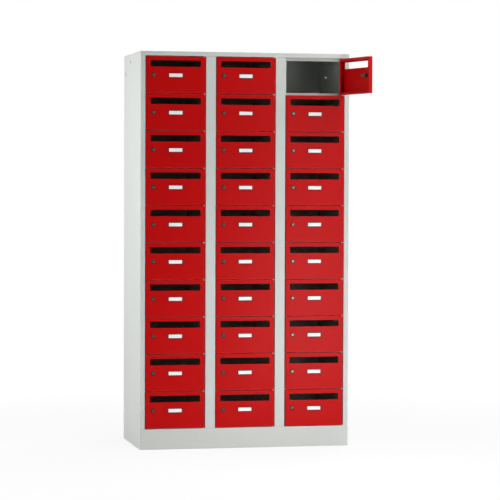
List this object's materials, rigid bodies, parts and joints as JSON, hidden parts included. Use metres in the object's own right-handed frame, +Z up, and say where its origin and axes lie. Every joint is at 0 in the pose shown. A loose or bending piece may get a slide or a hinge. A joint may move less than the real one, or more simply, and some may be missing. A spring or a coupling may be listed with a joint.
{
  "type": "mail distribution cabinet",
  "caption": "Tall sheet-steel mail cabinet: red hinged doors with mail slots, cam locks and name-card holders on rows of locked compartments in a light grey carcass.",
  "frame": {"origin": "middle of the cabinet's footprint, on the floor, on the underside of the base cross rail", "axes": "+Z up; the doors face -Y; +X is to the right as seen from the front"},
  "size_m": [1.0378, 0.749, 1.85],
  "materials": {
    "light_grey_paint": "light grey powder coat, satin",
    "red_paint": "signal red powder coat, satin",
    "lock_steel": "nickel-plated, fine satin"
  },
  "bodies": {
    "carcass": {"back_panel": "light_grey_paint", "base_cross_rail": "light_grey_paint", "base_panel": "light_grey_paint", "left_casing": "light_grey_paint", "partition_left_middle": "light_grey_paint", "partition_middle_right": "light_grey_paint", "right_casing": "light_grey_paint", "shelf_1": "light_grey_paint", "shelf_2": "light_grey_paint", "shelf_3": "light_grey_paint", "shelf_4": "light_grey_paint", "shelf_5": "light_grey_paint", "shelf_6": "light_grey_paint", "shelf_7": "light_grey_paint", "shelf_8": "light_grey_paint", "shelf_9": "light_grey_paint", "top_panel": "light_grey_paint"},
    "door_left_01": {"door_left_01": "red_paint"},
    "door_left_02": {"door_left_02": "red_paint"},
    "door_left_03": {"door_left_03": "red_paint"},
    "door_left_04": {"door_left_04": "red_paint"},
    "door_left_05": {"door_left_05": "red_paint"},
    "door_left_06": {"door_left_06": "red_paint"},
    "door_left_07": {"door_left_07": "red_paint"},
    "door_left_08": {"door_left_08": "red_paint"},
    "door_left_09": {"door_left_09": "red_paint"},
    "door_left_10": {"door_left_10": "red_paint"},
    "door_middle_01": {"door_middle_01": "red_paint"},
    "door_middle_02": {"door_middle_02": "red_paint"},
    "door_middle_03": {"door_middle_03": "red_paint"},
    "door_middle_04": {"door_middle_04": "red_paint"},
    "door_middle_05": {"door_middle_05": "red_paint"},
    "door_middle_06": {"door_middle_06": "red_paint"},
    "door_middle_07": {"door_middle_07": "red_paint"},
    "door_middle_08": {"door_middle_08": "red_paint"},
    "door_middle_09": {"door_middle_09": "red_paint"},
    "door_middle_10": {"door_middle_10": "red_paint"},
    "door_right_01": {"door_right_01": "red_paint"},
    "door_right_02": {"door_right_02": "red_paint"},
    "door_right_03": {"door_right_03": "red_paint"},
    "door_right_04": {"door_right_04": "red_paint"},
    "door_right_05": {"door_right_05": "red_paint"},
    "door_right_06": {"door_right_06": "red_paint"},
    "door_right_07": {"door_right_07": "red_paint"},
    "door_right_08": {"door_right_08": "red_paint"},
    "door_right_09": {"door_right_09": "red_paint"},
    "door_right_10": {"door_right_10": "red_paint"},
    "lock_right_01": {"lock_right_01": "lock_steel"},
    "lock_right_02": {"lock_right_02": "lock_steel"},
    "lock_right_03": {"lock_right_03": "lock_steel"},
    "lock_right_04": {"lock_right_04": "lock_steel"},
    "lock_right_05": {"lock_right_05": "lock_steel"},
    "lock_right_06": {"lock_right_06": "lock_steel"},
    "lock_right_07": {"lock_right_07": "lock_steel"},
    "lock_right_08": {"lock_right_08": "lock_steel"},
    "lock_right_09": {"lock_right_09": "lock_steel"},
    "lock_right_10": {"lock_right_10": "lock_steel"}
  },
  "joints": [
    {"name": "door_left_01_hinge", "type": "hinge", "parent": "carcass", "child": "door_left_01", "pos_m": [-0.1981, -0.238, 1.74152], "axis": [0, 0, 1], "range_deg": [0, 110]},
    {"name": "door_left_02_hinge", "type": "hinge", "parent": "carcass", "child": "door_left_02", "pos_m": [-0.1981, -0.238, 1.56836], "axis": [0, 0, 1], "range_deg": [0, 110]},
    {"name": "door_left_03_hinge", "type": "hinge", "parent": "carcass", "child": "door_left_03", "pos_m": [-0.1981, -0.238, 1.3952], "axis": [0, 0, 1], "range_deg": [0, 110]},
    {"name": "door_left_04_hinge", "type": "hinge", "parent": "carcass", "child": "door_left_04", "pos_m": [-0.1981, -0.238, 1.22204], "axis": [0, 0, 1], "range_deg": [0, 110]},
    {"name": "door_left_05_hinge", "type": "hinge", "parent": "carcass", "child": "door_left_05", "pos_m": [-0.1981, -0.238, 1.04888], "axis": [0, 0, 1], "range_deg": [0, 110]},
    {"name": "door_left_06_hinge", "type": "hinge", "parent": "carcass", "child": "door_left_06", "pos_m": [-0.1981, -0.238, 0.87572], "axis": [0, 0, 1], "range_deg": [0, 110]},
    {"name": "door_left_07_hinge", "type": "hinge", "parent": "carcass", "child": "door_left_07", "pos_m": [-0.1981, -0.238, 0.70256], "axis": [0, 0, 1], "range_deg": [0, 110]},
    {"name": "door_left_08_hinge", "type": "hinge", "parent": "carcass", "child": "door_left_08", "pos_m": [-0.1981, -0.238, 0.5294], "axis": [0, 0, 1], "range_deg": [0, 110]},
    {"name": "door_left_09_hinge", "type": "hinge", "parent": "carcass", "child": "door_left_09", "pos_m": [-0.1981, -0.238, 0.35624], "axis": [0, 0, 1], "range_deg": [0, 110]},
    {"name": "door_left_10_hinge", "type": "hinge", "parent": "carcass", "child": "door_left_10", "pos_m": [-0.1981, -0.238, 0.18308], "axis": [0, 0, 1], "range_deg": [0, 110]},
    {"name": "door_middle_01_hinge", "type": "hinge", "parent": "carcass", "child": "door_middle_01", "pos_m": [0.1344, -0.238, 1.74152], "axis": [0, 0, 1], "range_deg": [0, 110]},
    {"name": "door_middle_02_hinge", "type": "hinge", "parent": "carcass", "child": "door_middle_02", "pos_m": [0.1344, -0.238, 1.56836], "axis": [0, 0, 1], "range_deg": [0, 110]},
    {"name": "door_middle_03_hinge", "type": "hinge", "parent": "carcass", "child": "door_middle_03", "pos_m": [0.1344, -0.238, 1.3952], "axis": [0, 0, 1], "range_deg": [0, 110]},
    {"name": "door_middle_04_hinge", "type": "hinge", "parent": "carcass", "child": "door_middle_04", "pos_m": [0.1344, -0.238, 1.22204], "axis": [0, 0, 1], "range_deg": [0, 110]},
    {"name": "door_middle_05_hinge", "type": "hinge", "parent": "carcass", "child": "door_middle_05", "pos_m": [0.1344, -0.238, 1.04888], "axis": [0, 0, 1], "range_deg": [0, 110]},
    {"name": "door_middle_06_hinge", "type": "hinge", "parent": "carcass", "child": "door_middle_06", "pos_m": [0.1344, -0.238, 0.87572], "axis": [0, 0, 1], "range_deg": [0, 110]},
    {"name": "door_middle_07_hinge", "type": "hinge", "parent": "carcass", "child": "door_middle_07", "pos_m": [0.1344, -0.238, 0.70256], "axis": [0, 0, 1], "range_deg": [0, 110]},
    {"name": "door_middle_08_hinge", "type": "hinge", "parent": "carcass", "child": "door_middle_08", "pos_m": [0.1344, -0.238, 0.5294], "axis": [0, 0, 1], "range_deg": [0, 110]},
    {"name": "door_middle_09_hinge", "type": "hinge", "parent": "carcass", "child": "door_middle_09", "pos_m": [0.1344, -0.238, 0.35624], "axis": [0, 0, 1], "range_deg": [0, 110]},
    {"name": "door_middle_10_hinge", "type": "hinge", "parent": "carcass", "child": "door_middle_10", "pos_m": [0.1344, -0.238, 0.18308], "axis": [0, 0, 1], "range_deg": [0, 110]},
    {"name": "door_right_01_hinge", "type": "hinge", "parent": "carcass", "child": "door_right_01", "pos_m": [0.4669, -0.238, 1.74152], "axis": [0, 0, 1], "range_deg": [-104.5, 5.5]},
    {"name": "door_right_02_hinge", "type": "hinge", "parent": "carcass", "child": "door_right_02", "pos_m": [0.4669, -0.238, 1.56836], "axis": [0, 0, 1], "range_deg": [0, 110]},
    {"name": "door_right_03_hinge", "type": "hinge", "parent": "carcass", "child": "door_right_03", "pos_m": [0.4669, -0.238, 1.3952], "axis": [0, 0, 1], "range_deg": [0, 110]},
    {"name": "door_right_04_hinge", "type": "hinge", "parent": "carcass", "child": "door_right_04", "pos_m": [0.4669, -0.238, 1.22204], "axis": [0, 0, 1], "range_deg": [0, 110]},
    {"name": "door_right_05_hinge", "type": "hinge", "parent": "carcass", "child": "door_right_05", "pos_m": [0.4669, -0.238, 1.04888], "axis": [0, 0, 1], "range_deg": [0, 110]},
    {"name": "door_right_06_hinge", "type": "hinge", "parent": "carcass", "child": "door_right_06", "pos_m": [0.4669, -0.238, 0.87572], "axis": [0, 0, 1], "range_deg": [0, 110]},
    {"name": "door_right_07_hinge", "type": "hinge", "parent": "carcass", "child": "door_right_07", "pos_m": [0.4669, -0.238, 0.70256], "axis": [0, 0, 1], "range_deg": [0, 110]},
    {"name": "door_right_08_hinge", "type": "hinge", "parent": "carcass", "child": "door_right_08", "pos_m": [0.4669, -0.238, 0.5294], "axis": [0, 0, 1], "range_deg": [0, 110]},
    {"name": "door_right_09_hinge", "type": "hinge", "parent": "carcass", "child": "door_right_09", "pos_m": [0.4669, -0.238, 0.35624], "axis": [0, 0, 1], "range_deg": [0, 110]},
    {"name": "door_right_10_hinge", "type": "hinge", "parent": "carcass", "child": "door_right_10", "pos_m": [0.4669, -0.238, 0.18308], "axis": [0, 0, 1], "range_deg": [0, 110]},
    {"name": "lock_right_01_turn", "type": "hinge", "parent": "door_right_01", "child": "lock_right_01", "pos_m": [0.53105, -0.46807, 1.74002], "axis": [0.9681, 0.2504, 0], "range_deg": [0, 180]},
    {"name": "lock_right_02_turn", "type": "hinge", "parent": "door_right_02", "child": "lock_right_02", "pos_m": [0.2281, -0.2425, 1.56686], "axis": [0, -1, 0], "range_deg": [0, 180]},
    {"name": "lock_right_03_turn", "type": "hinge", "parent": "door_right_03", "child": "lock_right_03", "pos_m": [0.2281, -0.2425, 1.3937], "axis": [0, -1, 0], "range_deg": [0, 180]},
    {"name": "lock_right_04_turn", "type": "hinge", "parent": "door_right_04", "child": "lock_right_04", "pos_m": [0.2281, -0.2425, 1.22054], "axis": [0, -1, 0], "range_deg": [0, 180]},
    {"name": "lock_right_05_turn", "type": "hinge", "parent": "door_right_05", "child": "lock_right_05", "pos_m": [0.2281, -0.2425, 1.04738], "axis": [0, -1, 0], "range_deg": [0, 180]},
    {"name": "lock_right_06_turn", "type": "hinge", "parent": "door_right_06", "child": "lock_right_06", "pos_m": [0.2281, -0.2425, 0.87422], "axis": [0, -1, 0], "range_deg": [0, 180]},
    {"name": "lock_right_07_turn", "type": "hinge", "parent": "door_right_07", "child": "lock_right_07", "pos_m": [0.2281, -0.2425, 0.70106], "axis": [0, -1, 0], "range_deg": [0, 180]},
    {"name": "lock_right_08_turn", "type": "hinge", "parent": "door_right_08", "child": "lock_right_08", "pos_m": [0.2281, -0.2425, 0.5279], "axis": [0, -1, 0], "range_deg": [0, 180]},
    {"name": "lock_right_09_turn", "type": "hinge", "parent": "door_right_09", "child": "lock_right_09", "pos_m": [0.2281, -0.2425, 0.35474], "axis": [0, -1, 0], "range_deg": [0, 180]},
    {"name": "lock_right_10_turn", "type": "hinge", "parent": "door_right_10", "child": "lock_right_10", "pos_m": [0.2281, -0.2425, 0.18158], "axis": [0, -1, 0], "range_deg": [0, 180]}
  ]
}
